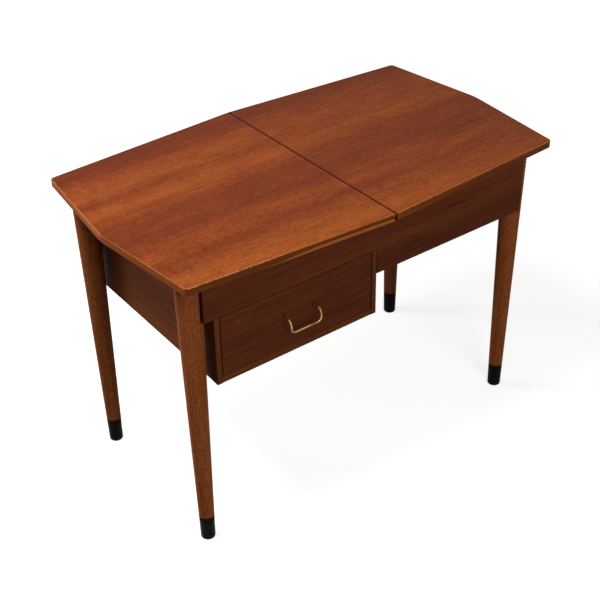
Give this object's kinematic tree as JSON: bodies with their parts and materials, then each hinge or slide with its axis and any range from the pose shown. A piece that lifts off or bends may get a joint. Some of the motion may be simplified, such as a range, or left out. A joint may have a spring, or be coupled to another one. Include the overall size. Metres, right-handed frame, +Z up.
{
  "type": "sewing table",
  "caption": "Low teak sewing table with a two-leaf lidded top over a tray and a well, and a shallow drawer hung under its left half.",
  "frame": {"origin": "on the floor under the middle of the table", "axes": "+X along the table to the right of someone facing the drawer, +Y towards the back, +Z up; the drawer pulls out towards -Y"},
  "size_m": [0.7926, 0.472, 0.55],
  "materials": {
    "teak": "oiled teak veneer",
    "teak_edge": "oiled solid teak",
    "teak_leg": "oiled solid teak, turned",
    "ebonised": "black stained, satin",
    "beech": "bare beech",
    "birch_ply": "bare plywood",
    "brass": "satin brass",
    "steel": "dull plated steel"
  },
  "bodies": {
    "frame": {"back_board": "teak", "carcass_back": "birch_ply", "carcass_bottom": "teak", "carcass_lipping_bottom": "teak_edge", "carcass_lipping_left": "teak_edge", "carcass_lipping_right": "teak_edge", "drawer_runner_left": "beech", "drawer_runner_right": "beech", "drawer_stops": "beech", "end_board_left": "teak", "end_board_right": "teak", "front_board": "teak", "hinge_left_inner_fixed_plate": "brass", "hinge_left_outer_fixed_plate": "brass", "hinge_right_inner_fixed_plate": "brass", "hinge_right_outer_fixed_plate": "brass", "hinge_screws_frame": "steel", "left_hinge_pins": "brass", "leg_back_left": "teak_leg", "leg_back_right": "teak_leg", "leg_front_left": "teak_leg", "leg_front_right": "teak_leg", "partition": "teak", "right_hinge_pins": "brass", "tip_back_left": "ebonised", "tip_back_right": "ebonised", "tip_front_left": "ebonised", "tip_front_right": "ebonised", "tray_cleats": "beech", "tray_floor": "birch_ply", "well_cleat_back": "beech", "well_cleat_front": "beech", "well_floor": "birch_ply"},
    "drawer": {"drawer_back": "beech", "drawer_bottom": "birch_ply", "drawer_front": "teak", "drawer_side_left": "beech", "drawer_side_right": "beech", "handle_bow": "brass", "handle_collars": "brass", "handle_nuts": "steel"},
    "left_leaf": {"hinge_left_inner_moving_plate": "brass", "hinge_left_outer_moving_plate": "brass", "hinge_screws_left_leaf": "steel", "left_leaf_lipping_back": "teak_edge", "left_leaf_lipping_end_front": "teak_edge", "left_leaf_lipping_end_rear": "teak_edge", "left_leaf_lipping_front": "teak_edge", "left_leaf_panel": "teak"},
    "right_leaf": {"hinge_right_inner_moving_plate": "brass", "hinge_right_outer_moving_plate": "brass", "hinge_screws_right_leaf": "steel", "right_leaf_lipping_back": "teak_edge", "right_leaf_lipping_end_front": "teak_edge", "right_leaf_lipping_end_rear": "teak_edge", "right_leaf_lipping_front": "teak_edge", "right_leaf_panel": "teak"}
  },
  "joints": [
    {"name": "drawer_slide", "type": "slide", "parent": "frame", "child": "drawer", "axis": [0, -1, 0], "range_m": [0, 0.24]},
    {"name": "left_leaf_hinge", "type": "hinge", "parent": "frame", "child": "left_leaf", "pos_m": [-0.185, 0.1924, 0.5336], "axis": [-1, 0, 0], "range_deg": [0, 95]},
    {"name": "right_leaf_hinge", "type": "hinge", "parent": "frame", "child": "right_leaf", "pos_m": [0.185, 0.1924, 0.5336], "axis": [-1, 0, 0], "range_deg": [0, 95]}
  ]
}
